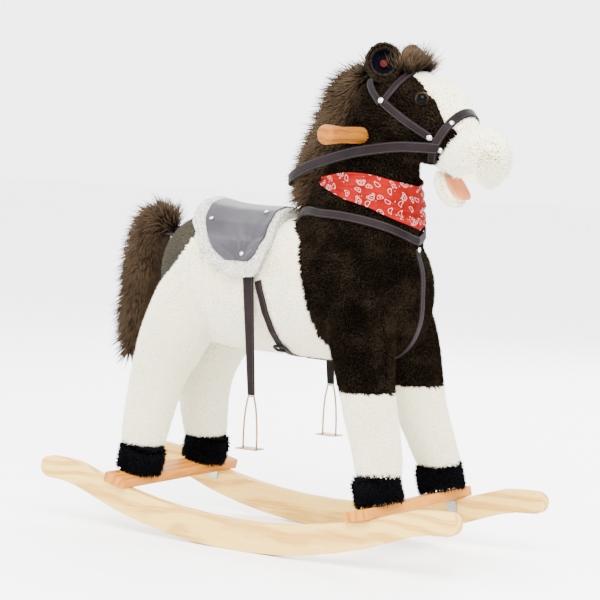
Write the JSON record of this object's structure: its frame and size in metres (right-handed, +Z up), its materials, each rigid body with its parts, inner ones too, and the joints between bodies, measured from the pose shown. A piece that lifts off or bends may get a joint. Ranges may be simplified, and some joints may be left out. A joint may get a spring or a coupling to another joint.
{
  "type": "rocking horse",
  "caption": "Plush toy horse with saddle, bridle and neckerchief, standing on two curved pine rockers joined by planks; moving jaw, tail and stirrups.",
  "frame": {"origin": "on the floor under the middle of the rockers, at the centre of the bounding box", "axes": "+X towards the head, +Y to the left side of the horse, +Z up"},
  "size_m": [0.744, 0.296, 0.7353],
  "materials": {
    "pine": "clear satin varnish",
    "dark_pine": "clear satin varnish",
    "handle_wood": "clear gloss varnish",
    "frame_wood": "sawn",
    "zinc_steel": "zinc plated",
    "dark_steel": "blackened",
    "white_plush": "short plush pile",
    "brown_plush": "short plush pile with pale tips",
    "black_plush": "shaggy pile",
    "glass_eye": "polished",
    "pink_felt": "felt",
    "red_plastic": "gloss",
    "grey_plastic": "matte",
    "fleece": "curly fleece",
    "vinyl": "glossy imitation leather",
    "strap_leather": "satin imitation leather",
    "brass_wire": "polished",
    "red_cotton": "printed cotton",
    "hair": "long pile with golden tips"
  },
  "bodies": {
    "horse": {"rocker_right": "pine", "rocker_left": "pine", "front_plank": "dark_pine", "rear_plank": "dark_pine", "handle_bar": "handle_wood", "bracket_front_right": "zinc_steel", "plank_screw_front_right": "dark_steel", "leg_post_front_right": "frame_wood", "leg_front_right": "white_plush", "hoof_front_right": "black_plush", "bracket_front_left": "zinc_steel", "plank_screw_front_left": "dark_steel", "leg_post_front_left": "frame_wood", "leg_front_left": "white_plush", "hoof_front_left": "black_plush", "bracket_rear_right": "zinc_steel", "plank_screw_rear_right": "dark_steel", "leg_post_rear_right": "frame_wood", "leg_rear_right": "white_plush", "hoof_rear_right": "black_plush", "bracket_rear_left": "zinc_steel", "plank_screw_rear_left": "dark_steel", "leg_post_rear_left": "frame_wood", "leg_rear_left": "white_plush", "hoof_rear_left": "black_plush", "body_board": "frame_wood", "neck_post": "frame_wood", "torso": "white_plush", "muzzle": "white_plush", "neck": "brown_plush", "head": "brown_plush", "ear_right": "brown_plush", "ear_left": "brown_plush", "jaw_pin": "zinc_steel", "tail_pin": "zinc_steel", "eye_right": "glass_eye", "eye_left": "glass_eye", "sound_box": "grey_plastic", "saddle_fleece": "fleece", "saddle_cover": "vinyl", "girth_strap": "strap_leather", "crupper_strap": "strap_leather", "breast_collar": "strap_leather", "chest_strap": "strap_leather", "noseband": "strap_leather", "cheek_strap_right": "strap_leather", "cheek_strap_left": "strap_leather", "browband": "strap_leather", "crown_strap": "strap_leather", "reins": "strap_leather", "neckerchief": "red_cotton", "mane": "hair"},
    "lower_jaw": {"lower_jaw": "white_plush", "mouth_lining": "pink_felt"},
    "tail": {"tail": "hair"},
    "ear_button": {"ear_button": "red_plastic"},
    "stirrup_strap_right": {"stirrup_strap_right": "strap_leather"},
    "stirrup_strap_left": {"stirrup_strap_left": "strap_leather"},
    "stirrup_right": {"stirrup_right": "brass_wire"},
    "stirrup_left": {"stirrup_left": "brass_wire"}
  },
  "joints": [
    {"name": "jaw_hinge", "type": "hinge", "parent": "horse", "child": "lower_jaw", "pos_m": [0.2525, 0, 0.5705], "axis": [0, -1, 0], "range_deg": [-4, 12]},
    {"name": "tail_wag", "type": "hinge", "parent": "horse", "child": "tail", "pos_m": [-0.225, 0, 0.444], "axis": [1, 0, 0], "range_deg": [-18, 18]},
    {"name": "stirrup_strap_swing_right", "type": "hinge", "parent": "horse", "child": "stirrup_strap_right", "pos_m": [-0.008, -0.1033, 0.4], "axis": [0, 1, 0], "range_deg": [-24, 24]},
    {"name": "stirrup_tilt_right", "type": "hinge", "parent": "stirrup_strap_right", "child": "stirrup_right", "pos_m": [0.004, -0.1033, 0.2223], "axis": [-1, 0, 0], "range_deg": [0, 40]},
    {"name": "stirrup_strap_swing_left", "type": "hinge", "parent": "horse", "child": "stirrup_strap_left", "pos_m": [-0.008, 0.1033, 0.4], "axis": [0, 1, 0], "range_deg": [-24, 24]},
    {"name": "stirrup_tilt_left", "type": "hinge", "parent": "stirrup_strap_left", "child": "stirrup_left", "pos_m": [0.004, 0.1033, 0.2223], "axis": [1, 0, 0], "range_deg": [0, 40]},
    {"name": "ear_button_press", "type": "slide", "parent": "horse", "child": "ear_button", "axis": [-0.5161, 0.8258, -0.2271], "range_m": [0, 0.0022], "stiffness_N_per_m": 300}
  ]
}
